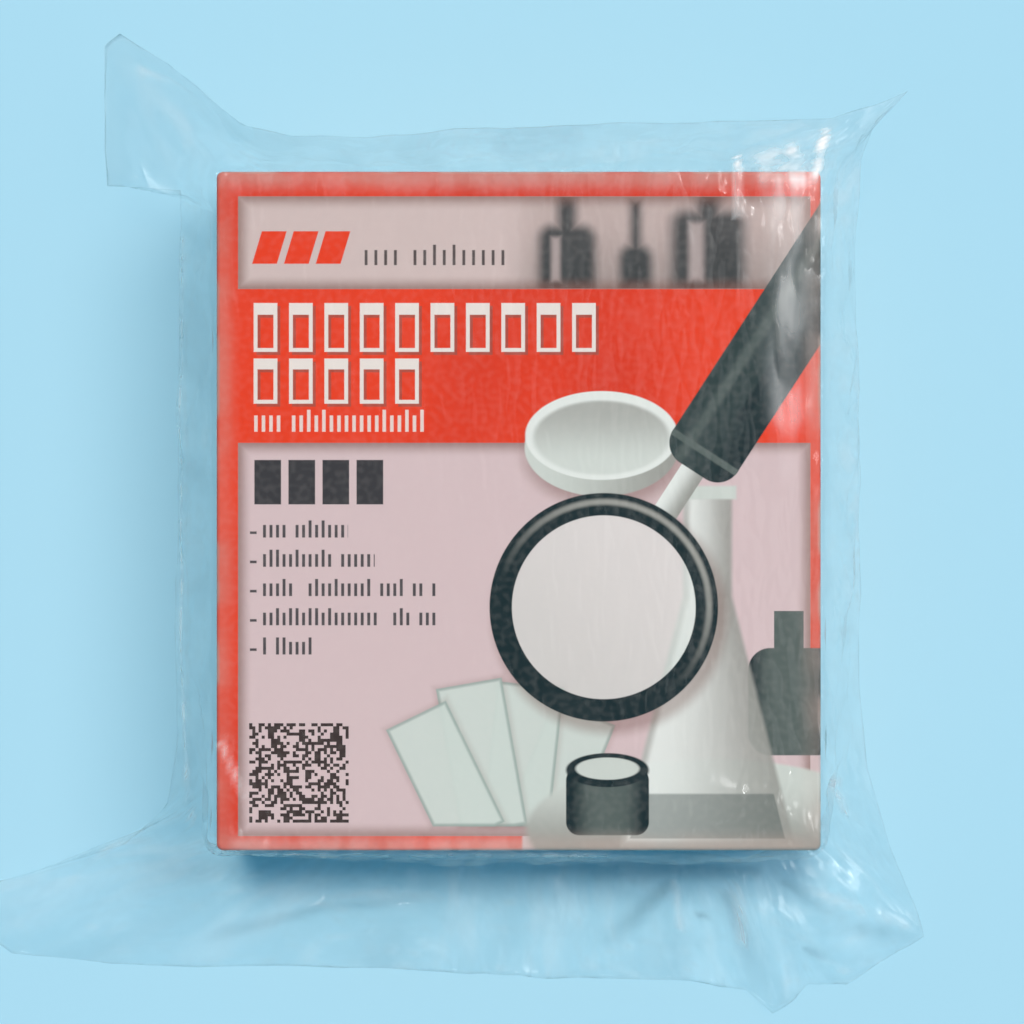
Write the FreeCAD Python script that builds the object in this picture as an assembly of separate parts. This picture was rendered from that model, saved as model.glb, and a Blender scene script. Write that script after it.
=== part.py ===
"""A carton of 72 glass microscope slides, sealed in a clear film bag and lying on its back.

Frame: +Z up out of the printed face, +Y towards the head of the print, +X to its right. The origin is
the middle of the carton's footprint, on the surface that the bag lies on. Millimetres.

Pieces: ground-edge slides standing on edge in one row, in six nodes of a dozen each, the tray that
holds them, the full-depth lid that telescopes over the tray, and the film bag round it all.
"""

import FreeCAD, Part

import math
import os

from FreeCAD import Vector

# One slide, and the row of them.
SLIDE_LENGTH = 76.2
SLIDE_WIDTH = 25.4
SLIDE_THICKNESS = 1.1
SLIDE_AIR = 0.1  # between neighbours: slides run from 1.0 to 1.2 thick, and the row is sized for 1.2
GROUND_EDGE = 0.15
DOZEN = 12
DOZENS = 6

# The two halves of the carton, in board.
TRAY_BOARD = 1.0
LID_BOARD = 1.2
SLIDE_PLAY = 0.3  # round the row, each side
HEADROOM = 0.4  # over the slides' top edges
LID_PLAY = 0.25  # between the tray's outside and the lid's inside, each side
LID_REVEAL = 0.8  # how far the lid's skirt ends above the tray's foot
TRAY_CORNER = 0.5
LID_CORNER = 0.9
LID_EDGE = 0.6

# The film bag.
FILM = 0.1
FILM_EASE = 0.3  # between the film and the carton
FILM_CORNER = 1.5  # where the film turns round the carton's upright corners
SEAL = 4.0  # the weld along the head seam and the tail seam
CREASE = 0.5  # the pressed fold down each side of the tube

# The side creases, out from the carton's sides.
LEFT_REACH = 6.6
RIGHT_REACH = 7.4
CREASE_HEIGHT = 14.0
CREASE_SWAY = 0.5
SIDE_STATIONS = 7

# The head seam bows out from the carton's head between the bag's two upper ears.
HEAD_REACH_LEFT = 6.5
HEAD_REACH_RIGHT = 9.4
HEAD_HEIGHT = 15.5
HEAD_RIPPLE = 1.2
HEAD_STATIONS = 9

# The tail flap lies on the surface beyond the carton's tail, gathered where the film runs under it.
FLAP_REACH_LEFT = 19.6
FLAP_REACH_RIGHT = 22.6
GATHERS = 7
GATHER_LIFT = 2.4
GATHER_PULL = 0.8

# The edges of the bag, as (width pressed or welded flat, share of the way out, share of the fall
# still to go): the last two place the knee between the film's steep part and its flat part.
SIDE_EDGE = (CREASE, 0.72, 0.42)
TURN_EDGE = (CREASE, 0.5, 0.26)
EAR_EDGE = (CREASE, 0.3, 0.14)
EAR_WELD = (SEAL, 0.36, 0.14)
HEAD_WELD = (SEAL, 0.55, 0.24)
FLAP_WELD = (SEAL, 0.25, 0.16)

# The corners of the bag stand out past the carton's corners. Each point is (across, along, height,
# edge), out from the carton's own corner, in order round the bag.
HEAD_RIGHT_EAR = (
    (8.4, 2.0, 13.5, TURN_EDGE),
    (9.6, 7.6, 14.0, TURN_EDGE),
    (13.6, 13.4, 15.0, EAR_EDGE),
    (8.0, 12.0, 16.0, EAR_WELD),
    (3.5, 10.2, 16.5, EAR_WELD),
)
HEAD_LEFT_EAR = (
    (-3.2, 11.9, 16.5, EAR_WELD),
    (-7.6, 17.3, 14.5, EAR_WELD),
    (-15.2, 21.4, 12.0, EAR_WELD),
    (-17.0, 19.2, 11.5, EAR_EDGE),
    (-17.2, 8.0, 12.0, EAR_EDGE),
    (-15.5, 0.2, 13.0, TURN_EDGE),
)
TAIL_LEFT_FAN = (
    (-7.6, 2.4, 10.0, TURN_EDGE),
    (-34.0, -7.2, 1.4, TURN_EDGE),
    (-37.4, -11.6, 0.4, EAR_EDGE),
    (-34.2, -17.6, 0.1, FLAP_WELD),
    (-18.0, -19.4, 1.2, FLAP_WELD),
    (-8.0, -19.2, 0.1, FLAP_WELD),
)
TAIL_RIGHT_FAN = (
    (-4.2, -26.4, 0.3, FLAP_WELD),
    (-0.6, -22.2, 2.2, FLAP_WELD),
    (6.2, -22.4, 0.1, FLAP_WELD),
    (16.6, -14.3, 0.6, FLAP_WELD),
    (17.2, -7.5, 2.6, EAR_EDGE),
    (10.6, 1.5, 8.5, TURN_EDGE),
)

# What follows from the sizes above.
SLIDE_PITCH = SLIDE_THICKNESS + SLIDE_AIR
ROW_LENGTH = DOZENS * DOZEN * SLIDE_PITCH - SLIDE_AIR
TRAY_X = SLIDE_LENGTH + 2 * (SLIDE_PLAY + TRAY_BOARD)
TRAY_Y = ROW_LENGTH + 2 * (SLIDE_PLAY + TRAY_BOARD)
TRAY_Z = TRAY_BOARD + SLIDE_WIDTH + HEADROOM
LID_X = TRAY_X + 2 * (LID_PLAY + LID_BOARD)
LID_Y = TRAY_Y + 2 * (LID_PLAY + LID_BOARD)
FOOT = FILM
CARTON_TOP = FOOT + TRAY_Z + LID_BOARD
BAG_TOP = CARTON_TOP + FILM_EASE + FILM
HALF_X = LID_X / 2
HALF_Y = LID_Y / 2


def block(x, y, low, high):
    """A box centred on the Z axis, from height low to height high."""
    return Part.makeBox(x, y, high - low, Vector(-x / 2, -y / 2, low))


def upright_edges(shape):
    return [e for e in shape.Edges if abs(e.tangentAt(e.FirstParameter).z) > 0.99]


def edges_at(shape, height):
    return [e for e in shape.Edges if all(abs(v.Z - height) < 1e-6 for v in e.Vertexes)]


# --- the slides ---------------------------------------------------------------------------------


def slide():
    """One slide standing on its long edge, with the rims of both its faces ground at 45 degrees."""
    glass = Part.makeBox(SLIDE_LENGTH, SLIDE_THICKNESS, SLIDE_WIDTH)
    rims = [e for e in glass.Edges if abs(e.Vertexes[0].Y - e.Vertexes[1].Y) < GROUND_EDGE]
    return glass.makeChamfer(GROUND_EDGE, rims)


def slide_dozen(index):
    """A dozen neighbouring slides of the row, each its own solid."""
    one = slide()
    start = Vector(-SLIDE_LENGTH / 2, -ROW_LENGTH / 2, FOOT + TRAY_BOARD)
    places = range(index * DOZEN, (index + 1) * DOZEN)
    return Part.makeCompound([one.translated(start + Vector(0, n * SLIDE_PITCH, 0)) for n in places])


# --- the carton ---------------------------------------------------------------------------------


def tray():
    """The open tray, its upright corners eased where the board's wrap turns."""
    board = block(TRAY_X, TRAY_Y, FOOT, FOOT + TRAY_Z)
    board = board.makeFillet(TRAY_CORNER, upright_edges(board))
    well = block(
        TRAY_X - 2 * TRAY_BOARD,
        TRAY_Y - 2 * TRAY_BOARD,
        FOOT + TRAY_BOARD,
        FOOT + TRAY_Z + TRAY_BOARD,
    )
    return board.cut(well)


def lid():
    """The full-depth lid: its top rests on the tray's rim, and its skirt stops short of the foot."""
    skirt_end = FOOT + LID_REVEAL
    board = block(LID_X, LID_Y, skirt_end, CARTON_TOP)
    board = board.makeFillet(LID_CORNER, upright_edges(board))
    board = board.makeFillet(LID_EDGE, edges_at(board, CARTON_TOP))
    well = block(
        LID_X - 2 * LID_BOARD,
        LID_Y - 2 * LID_BOARD,
        skirt_end - LID_BOARD,
        CARTON_TOP - LID_BOARD,
    )
    return board.cut(well)


# --- the bag ------------------------------------------------------------------------------------


class Station:
    """One upright cut through the film, from the carton's rim out to the bag's edge and back under.

    base is where the film leaves the carton, tip is the bag's edge, height is the tip's, and edge
    says how the film gets there.
    """

    def __init__(self, base, tip, height, edge):
        self.base = base
        self.out = (tip - base).normalize()
        self.reach = tip.distanceToPoint(base)
        self.height = max(height, FILM)
        self.band, self.knee, self.left = edge

    def outside(self):
        """The outer face of the film, as (out, height) from the rim, round the tip, to the foot."""
        weld = self.reach - self.band
        knee = self.knee * weld
        upper = self.height + FILM
        lower = self.height - FILM
        return [
            (0, BAG_TOP),
            (knee, upper + self.left * (BAG_TOP - upper)),
            (weld, upper),
            (self.reach, upper),
            (self.reach, lower),
            (weld, lower),
            (knee, lower * (1 - self.left)),
            (0, 0),
        ]

    def inside(self):
        """The inner face: a film's thickness in from the outer one, and shut where the edge is flat."""
        rim, knee, weld, _, _, under, heel, foot = self.outside()
        return [
            mitre((-1, BAG_TOP), rim, knee),
            mitre(rim, knee, weld),
            (weld[0], self.height),
            mitre(under, heel, foot),
            mitre(heel, foot, (-1, 0)),
        ]

    def place(self, path):
        """A path of (out, height) as points in the part's frame."""
        return [self.base + self.out * out + Vector(0, 0, height) for out, height in path]


def mitre(before, corner, after):
    """The corner of a path, moved to its right by the film's thickness."""
    normals = []
    for start, end in ((before, corner), (corner, after)):
        run, rise = end[0] - start[0], end[1] - start[1]
        length = math.hypot(run, rise)
        normals.append((rise / length, -run / length))
    (ax, az), (bx, bz) = normals
    scale = FILM / (1 + ax * bx + az * bz)
    return corner[0] + scale * (ax + bx), corner[1] + scale * (az + bz)


def share(index, count):
    """Where station number index stands between the two ends of a run of count of them."""
    return (index + 1) / (count + 1)


def side_run(sign, reach):
    """The crease down one side, from the tail to the head, swaying a little in and out."""
    run = []
    straight = HALF_Y + FILM_EASE + FILM - FILM_CORNER
    for n in range(SIDE_STATIONS):
        y = straight * (2 * share(n, SIDE_STATIONS) - 1)
        sway = math.sin(2.4 * n + sign)
        base = Vector(sign * (HALF_X + FILM_EASE + FILM), y, 0)
        tip = Vector(sign * (HALF_X + reach + CREASE_SWAY * sway), y, 0)
        run.append(Station(base, tip, CREASE_HEIGHT + sway, SIDE_EDGE))
    return run


def head_run():
    """The head seam, from right to left."""
    run = []
    straight = HALF_X + FILM_EASE + FILM - FILM_CORNER
    for n in range(HEAD_STATIONS):
        across = 1 - 2 * share(n, HEAD_STATIONS)
        reach = HEAD_REACH_LEFT + (HEAD_REACH_RIGHT - HEAD_REACH_LEFT) * (1 + math.sin(1.6 * across)) / 2
        base = Vector(straight * across, HALF_Y + FILM_EASE + FILM, 0)
        tip = Vector(straight * across, HALF_Y + reach, 0)
        height = HEAD_HEIGHT + HEAD_RIPPLE * (-1) ** n / 2
        run.append(Station(base, tip, height, HEAD_WELD))
    return run


def tail_run():
    """The tail seam, from left to right: gathers rise between stretches that lie on the surface."""
    run = []
    straight = HALF_X + FILM_EASE + FILM - FILM_CORNER
    count = 2 * GATHERS + 1
    for n in range(count):
        across = 2 * share(n, count) - 1
        reach = FLAP_REACH_LEFT + (FLAP_REACH_RIGHT - FLAP_REACH_LEFT) * (1 + across) / 2
        crest = n % 2
        lift = crest * GATHER_LIFT * (0.6 + 0.4 * math.sin(1.7 * n))
        base = Vector(straight * across, -HALF_Y - FILM_EASE - FILM, 0)
        tip = Vector(straight * across, -HALF_Y - reach + GATHER_PULL * crest, 0)
        run.append(Station(base, tip, lift, FLAP_WELD))
    return run


def corner_run(points, side, end):
    """A corner of the bag: stations that fan out from the film's turn round the carton's corner."""
    centre = Vector(
        side * (HALF_X + FILM_EASE + FILM - FILM_CORNER),
        end * (HALF_Y + FILM_EASE + FILM - FILM_CORNER),
        0,
    )
    start = math.atan2(end, side) - math.pi / 4
    run = []
    for n, (across, along, height, edge) in enumerate(points):
        turn = start + share(n, len(points)) * math.pi / 2
        base = centre + Vector(math.cos(turn), math.sin(turn), 0) * FILM_CORNER
        tip = Vector(side * HALF_X + across, end * HALF_Y + along, 0)
        run.append(Station(base, tip, height, edge))
    return run


def stations():
    """Every station, once round the bag, anticlockwise from above."""
    return (
        side_run(1, RIGHT_REACH)
        + corner_run(HEAD_RIGHT_EAR, 1, 1)
        + head_run()
        + corner_run(HEAD_LEFT_EAR, -1, 1)
        + side_run(-1, LEFT_REACH)[::-1]
        + corner_run(TAIL_LEFT_FAN, -1, -1)
        + tail_run()
        + corner_run(TAIL_RIGHT_FAN, 1, -1)
    )


def film_solid(paths):
    """The closed solid whose faces join each path of points to the next, with both ends capped."""
    rings = [list(ring) for ring in zip(*paths)]
    faces = [polygon(rings[0]), polygon(rings[-1][::-1])]
    for upper, lower in zip(rings, rings[1:]):
        count = len(upper)
        for n in range(count):
            m = (n + 1) % count
            faces.append(polygon([upper[n], lower[n], lower[m]]))
            faces.append(polygon([upper[n], lower[m], upper[m]]))
    shell = Part.makeShell(faces)
    shell.sewShape()
    solid = Part.makeSolid(shell)
    if solid.Volume < 0:
        solid.reverse()
    return solid


def polygon(points):
    return Part.Face(Part.makePolygon(points + points[:1]))


def bag():
    """The film: thin all over, folded flat down its sides and welded at its head and its tail."""
    cuts = stations()
    outer = film_solid([cut.place(cut.outside()) for cut in cuts])
    return outer.cut(film_solid([cut.place(cut.inside()) for cut in cuts]))


def main():
    pieces = {"clear_bag": bag(), "carton_lid": lid(), "carton_tray": tray()}
    for index in range(DOZENS):
        pieces[f"slides_dozen_{index + 1}"] = slide_dozen(index)
    os.makedirs("parts", exist_ok=True)
    for name, shape in pieces.items():
        shape.exportStep(f"parts/{name}.step")
        print(name, "solids", len(shape.Solids), "faces", len(shape.Faces), "volume", round(shape.Volume, 1))


main()
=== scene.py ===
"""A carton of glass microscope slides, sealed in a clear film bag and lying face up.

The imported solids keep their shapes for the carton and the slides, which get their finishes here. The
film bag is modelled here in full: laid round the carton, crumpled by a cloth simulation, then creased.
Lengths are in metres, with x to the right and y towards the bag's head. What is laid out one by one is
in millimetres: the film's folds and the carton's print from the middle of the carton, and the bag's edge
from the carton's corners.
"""

import math
import random

import bmesh
import bpy
import numpy as np
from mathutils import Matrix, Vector


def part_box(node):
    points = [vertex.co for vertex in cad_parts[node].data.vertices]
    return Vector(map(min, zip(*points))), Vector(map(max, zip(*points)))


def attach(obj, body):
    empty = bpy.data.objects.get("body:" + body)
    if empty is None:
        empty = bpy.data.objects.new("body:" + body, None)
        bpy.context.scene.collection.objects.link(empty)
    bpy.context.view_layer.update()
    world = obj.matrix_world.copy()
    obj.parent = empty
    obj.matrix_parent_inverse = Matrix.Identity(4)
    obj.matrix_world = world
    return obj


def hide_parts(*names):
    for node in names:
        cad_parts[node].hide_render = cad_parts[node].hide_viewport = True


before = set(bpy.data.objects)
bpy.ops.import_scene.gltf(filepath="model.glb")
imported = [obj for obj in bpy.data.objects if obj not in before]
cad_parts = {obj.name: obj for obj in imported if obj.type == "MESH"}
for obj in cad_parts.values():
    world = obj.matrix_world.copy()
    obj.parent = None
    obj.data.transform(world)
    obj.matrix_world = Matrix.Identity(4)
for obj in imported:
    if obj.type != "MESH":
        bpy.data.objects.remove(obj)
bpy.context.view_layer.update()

MM = 0.001
# The lid is centred, so its highest corner gives half its width, half its length and its face's height.
HALF_X, HALF_Y, FACE = np.array(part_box("carton_lid")[1])
WIDE, LONG, HIGH = HALF_X / MM, HALF_Y / MM, FACE / MM  # the same three in millimetres


# ---- Shader building: Value wraps a number in a node tree, Finish builds one material ----


class Value:
    """A number that varies over a surface. Python's operators on it add Math nodes."""

    def __init__(self, finish, socket):
        self.finish = finish
        self.socket = socket

    def math(self, operation, *others):
        node = self.finish.add("ShaderNodeMath", {"operation": operation}, self, *others)
        return Value(self.finish, node.outputs[0])

    def __add__(self, other):
        return self.math("ADD", other)

    def __sub__(self, other):
        return self.math("SUBTRACT", other)

    def __mul__(self, other):
        return self.math("MULTIPLY", other)

    def __truediv__(self, other):
        return self.math("DIVIDE", other)

    def __radd__(self, other):
        return self + other

    def __rmul__(self, other):
        return self * other

    def __rsub__(self, other):
        return self.math("MULTIPLY_ADD", -1, other)

    def __abs__(self):
        return self.math("ABSOLUTE")

    def least(self, other):
        return self.math("MINIMUM", other)

    def most(self, other):
        return self.math("MAXIMUM", other)

    def rise(self, low, high):
        """0 below low, 1 above high, and a smooth step between; low may be the higher one."""
        settings = {"interpolation_type": "SMOOTHSTEP"}
        node = self.finish.add("ShaderNodeMapRange", settings, Value=self, From_Min=low, From_Max=high)
        return Value(self.finish, node.outputs["Result"])


class Finish:
    """One material's node tree."""

    def __init__(self, name):
        self.material = bpy.data.materials.new(name)
        self.material.use_nodes = True
        self.tree = self.material.node_tree
        self.tree.nodes.clear()
        self.output = self.add("ShaderNodeOutputMaterial")
        self.place = self.add("ShaderNodeTexCoord").outputs["Object"]

    def add(self, kind, settings=None, *values, **sockets):
        """A node of that kind: its settings first, then its inputs, by position or by name."""
        node = self.tree.nodes.new(kind)
        for name, value in (settings or {}).items():
            setattr(node, name, value)
        for index, value in enumerate(values):
            self.feed(node.inputs[index], value)
        for name, value in sockets.items():
            self.feed(node.inputs[name.replace("_", " ")], value)
        return node

    def feed(self, socket, value):
        """Links a value or an output to an input, or sets the input to a number or colour."""
        if isinstance(value, Value):
            value = value.socket
        if isinstance(value, bpy.types.NodeSocket):
            self.tree.links.new(value, socket)
        else:
            socket.default_value = value

    def axes(self):
        """The three coordinates, in millimetres."""
        split = self.add("ShaderNodeSeparateXYZ", None, self.place)
        return [Value(self, output) * (1 / MM) for output in split.outputs]

    def attribute(self, name):
        """A number that the mesh holds at each of its points."""
        return Value(self, self.add("ShaderNodeAttribute", {"attribute_name": name}).outputs["Fac"])

    def noise(self, scale, detail, stretch=(1, 1, 1)):
        """Smooth noise from 0 to 1, with scale cells to a metre, times stretch along each axis."""
        place = self.add("ShaderNodeMapping", None, self.place, Scale=stretch).outputs[0]
        node = self.add("ShaderNodeTexNoise", None, place, Scale=scale, Detail=detail)
        return Value(self, node.outputs["Fac"])

    def from_specks(self, scale):
        """How far each place is from the nearest of scattered specks, scale of them to a metre."""
        node = self.add("ShaderNodeTexVoronoi", {"feature": "F1"}, self.place, Scale=scale)
        return Value(self, node.outputs["Distance"])

    def mix(self, share, under, over):
        """The colour over laid on the colour under, by share."""
        node = self.add("ShaderNodeMix", {"data_type": "RGBA", "clamp_factor": True})
        self.feed(node.inputs[0], share)
        self.feed(node.inputs[6], under)
        self.feed(node.inputs[7], over)
        return node.outputs[2]

    def lay(self, mask, ink):
        """Paints a colour over the finish's colour so far, where the mask is 1."""
        self.paint = self.mix(mask, self.paint, ink)

    def bump(self, height, distance, strength):
        """A normal for fine relief, where a height of 1 stands for that distance."""
        node = self.add("ShaderNodeBump", None, Strength=strength, Distance=distance, Height=height)
        return node.outputs["Normal"]

    def blend(self, share, under, over):
        """The shader over laid on the shader under, by share."""
        return self.add("ShaderNodeMixShader", None, share, under, over).outputs[0]

    def clear(self, tint):
        """A shader that lets what is behind it through, tinted."""
        return self.add("ShaderNodeBsdfTransparent", None, Color=tint).outputs[0]

    def finish(self, shader):
        """The material, ending in that shader."""
        self.feed(self.output.inputs["Surface"], shader)
        return self.material

    def solid(self, **sockets):
        """The material, ending in one Principled shader with those inputs."""
        return self.finish(self.add("ShaderNodeBsdfPrincipled", None, **sockets).outputs[0])


def colour(*screen):
    """A colour given as it looks on a screen, three numbers from 0 to 255, in linear values."""
    linear = [c / 255 / 12.92 if c <= 10 else ((c / 255 + 0.055) / 1.055) ** 2.4 for c in screen]
    return (*linear, 1.0)


# ---- The film bag ----

CELL = 1.4 * MM  # size of the film's mesh
SPOKE = 26  # cells from the carton's rim out to the bag's edge
EASE = 0.25 * MM  # between the film and the carton, before it is creased
NEAREST = 0.12 * MM  # between them afterwards, where a fold reaches furthest in
UNDERSIDE = 0.06 * MM  # height of the lower film before it is creased
LOWEST = 0.05 * MM  # height of the lowest film
RIM_TURN = 1.6 * MM  # radius of the film's turns at the carton's corners, seen from above
SHOULDER = 1.1 * MM  # how far the stiff film runs on past the carton's rim before it turns down
SMOOTHINGS = 3  # rounds of smoothing, on the bag's edge and on the film's lines out to it
GRAIN_STRETCH = 0.3  # how much slower the fine pleats change along their length than across

WAVES, WAVE_HEIGHT = 24, 0.12  # the random waves that start the folds, and their height in millimetres
WAVE_TURNS = (250, 1000)  # how fast they go up and down, at least and at most, in radians to a metre
PHASE = 6.28  # a wave starts anywhere in about one turn
SLACK = 1.07  # how much longer the film is than its path round the carton
SIM_SCALE = 10  # the simulation runs on a larger copy, because its stiffness and damping suit that size
SIM_FRAMES = 34
# The left ear: its middle, out from the carton's corner, and its size.
EAR_ACROSS, EAR_ALONG, EAR_SIZE = 11 * MM, 4 * MM, 13 * MM

# The bag's edge, going round anticlockwise from the tail's right corner. Each corner of the carton has
# a list of (place, across, along, height, knee, left): place counts the carton's sides from that
# corner, back or on; across, along and height are the edge's offset from the corner and its height, in
# millimetres; knee and left say where the film turns from steep to flat, as the share of the way out
# there and the share of the fall that is left.
CORNERS = (
    (
        (1, -1),
        (
            (-0.30, -24.5, -21.6, 0.5, 0.132, 0.07),
            (-0.22, -14, -22, 0.4, 0.132, 0.07),
            (-0.17, -8, -23, 0.6, 0.132, 0.07),
            (-0.13, -4.4, -26.3, 0.5, 0.132, 0.07),
            (-0.10, -1.2, -24.4, 1.2, 0.132, 0.07),
            (-0.07, 0.8, -22.2, 0.9, 0.138, 0.075),
            (-0.03, 6.4, -22.2, 0.4, 0.143, 0.075),
            (0.02, 17.4, -15.2, 0.6, 0.143, 0.075),
            (0.06, 16.3, -11, 1.2, 0.154, 0.08),
            (0.11, 12.2, -2, 4.5, 0.2, 0.1),
            (0.17, 8.4, 9.6, 9, 0.5, 0.3),
            (0.25, 6.9, 22, 12.5, 0.6, 0.4),
            (0.40, 6.6, 36.7, 14, 0.7, 0.44),
        ),
    ),
    (
        (1, 1),
        (
            (-0.30, 6.6, -27.5, 14, 0.7, 0.44),
            (-0.15, 6.1, -9, 14, 0.68, 0.43),
            (-0.08, 6.7, 3.4, 14.5, 0.5, 0.3),
            (-0.04, 8.6, 8.6, 15.5, 0.42, 0.2),
            (0.00, 13, 12.2, 17, 0.36, 0.18),
            (0.04, 8.2, 10.2, 18.5, 0.4, 0.2),
            (0.08, 2.4, 8.4, 19.5, 0.47, 0.24),
            (0.16, -9, 7.8, 20, 0.53, 0.3),
            (0.35, -28.6, 7.6, 20, 0.54, 0.3),
        ),
    ),
    (
        (-1, 1),
        (
            (-0.38, 31, 6.6, 20, 0.56, 0.3),
            (-0.25, 20.4, 5.5, 20, 0.56, 0.3),
            (-0.16, 9.5, 6, 19.5, 0.5, 0.26),
            (-0.11, 2.6, 7.6, 18.5, 0.43, 0.2),
            (-0.08, -3.4, 12.6, 17.5, 0.33, 0.06),
            (-0.05, -7.6, 16.2, 16, 0.3, 0.06),
            (-0.03, -14.8, 20.7, 13.5, 0.3, 0.06),
            (-0.01, -17, 19.2, 12.5, 0.3, 0.06),
            (0.006, -17.2, 13, 12, 0.32, 0.06),
            (0.021, -17.2, 5, 12, 0.36, 0.06),
            (0.037, -16.9, -0.5, 12.5, 0.42, 0.1),
            (0.065, -6.4, -1.1, 13, 0.5, 0.3),
            (0.19, -6.7, -13, 13.5, 0.62, 0.42),
            (0.40, -6.7, -36.7, 14, 0.7, 0.44),
        ),
    ),
    (
        (-1, -1),
        (
            (-0.30, -7, 27.5, 13.5, 0.7, 0.44),
            (-0.20, -7, 15, 11.5, 0.6, 0.36),
            (-0.15, -8.8, 4.4, 9.5, 0.46, 0.24),
            (-0.11, -15, -1.4, 6, 0.187, 0.08),
            (-0.06, -24.6, -4.6, 3, 0.132, 0.05),
            (-0.01, -33.6, -7.4, 1.4, 0.11, 0.04),
            (0.02, -37, -10.4, 0.9, 0.099, 0.04),
            (0.04, -36.8, -14.4, 0.6, 0.099, 0.04),
            (0.07, -32, -17.8, 0.5, 0.099, 0.045),
            (0.13, -18, -19.3, 0.6, 0.11, 0.05),
            (0.19, -6, -19.6, 0.5, 0.121, 0.06),
            (0.25, 8, -19.6, 0.6, 0.132, 0.07),
            (0.36, 29.4, -20.4, 0.5, 0.132, 0.07),
        ),
    ),
)


def rim_path(count_x, count_y):
    """The places round the carton's rim where the film leaves it, as (x, y, place) rows."""
    inner_x = HALF_X + EASE
    inner_y = HALF_Y + EASE
    rows = []
    for side in range(4):
        count = count_y if side % 2 == 0 else count_x
        for n in range(count):
            t = n / count
            x, y = [
                (inner_x, inner_y * (2 * t - 1)),
                (inner_x * (1 - 2 * t), inner_y),
                (-inner_x, inner_y * (1 - 2 * t)),
                (inner_x * (2 * t - 1), -inner_y),
            ][side]
            rows.append((x, y, side + t))
    return np.array(rows)


def round_corners(points, half_x, half_y, turn):
    """Points on or in a rectangle, drawn in so that its corners become arcs of radius turn."""
    result = points.copy()
    over_x = np.abs(points[:, 0]) - (half_x - turn)
    over_y = np.abs(points[:, 1]) - (half_y - turn)
    both = (over_x > 0) & (over_y > 0)
    far = np.hypot(over_x, over_y)
    near = np.maximum(over_x, over_y)
    shrink = np.where(both, near / np.maximum(far, 1e-9), 1.0)
    result[:, 0] = np.where(both, np.sign(points[:, 0]) * (half_x - turn + over_x * shrink), points[:, 0])
    result[:, 1] = np.where(both, np.sign(points[:, 1]) * (half_y - turn + over_y * shrink), points[:, 1])
    return result


def edge_path(places):
    """The bag's edge at those places round the rim: x, y, height, knee and left, smoothed."""
    stops = []
    for index, ((side_x, side_y), rows) in enumerate(CORNERS):
        for place, across, along, height, knee, left in rows:
            x = side_x * HALF_X + across * MM
            y = side_y * HALF_Y + along * MM
            stops.append(((index + place) % 4, x, y, height * MM, knee, left))
    stops = np.array(sorted(stops))
    # Each row moves to the nearest of the places, and the end rows come again a full round away.
    stops[:, 0] = [places[np.abs(places - stop).argmin()] for stop in stops[:, 0]]
    around = np.concatenate([stops[-1:] - [4, 0, 0, 0, 0, 0], stops, stops[:1] + [4, 0, 0, 0, 0, 0]])
    path = np.stack([np.interp(places, around[:, 0], around[:, k]) for k in range(1, 6)], axis=1)
    for _ in range(SMOOTHINGS):
        path[:, 2:] = (np.roll(path, 1, axis=0) + 2 * path + np.roll(path, -1, axis=0))[:, 2:] / 4
    return path


def along_polyline(points, count):
    """count + 1 points evenly spaced along each polyline. points: (corner, line, xyz)."""
    steps = np.linalg.norm(np.diff(points, axis=0), axis=2)
    far = np.concatenate([np.zeros((1, points.shape[1])), np.cumsum(steps, axis=0)])
    result = np.empty((count + 1, points.shape[1], 3))
    for line in range(points.shape[1]):
        at = np.linspace(0, far[-1, line], count + 1)
        for axis in range(3):
            result[:, line, axis] = np.interp(at, far[:, line], points[:, line, axis])
    return result


def streak_pattern(rings, count):
    """Random streaks that run out from the carton's rim, more and less than 0: a row for each ring."""
    shake = np.random.default_rng(23)
    total = np.zeros((rings, count))
    for around, outward, share in ((1, 40, 0.6), (4, 80, 0.8), (10, 80, 0.6)):
        layer = shake.standard_normal((rings * 3, count))  # with spare rings, so that its ends stay apart
        for axis, rounds in ((1, around), (0, outward)):
            for _ in range(rounds):
                layer = (np.roll(layer, 1, axis=axis) + 2 * layer + np.roll(layer, -1, axis=axis)) / 4
        total += share * layer[:rings] / layer.std()
    return total


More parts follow.
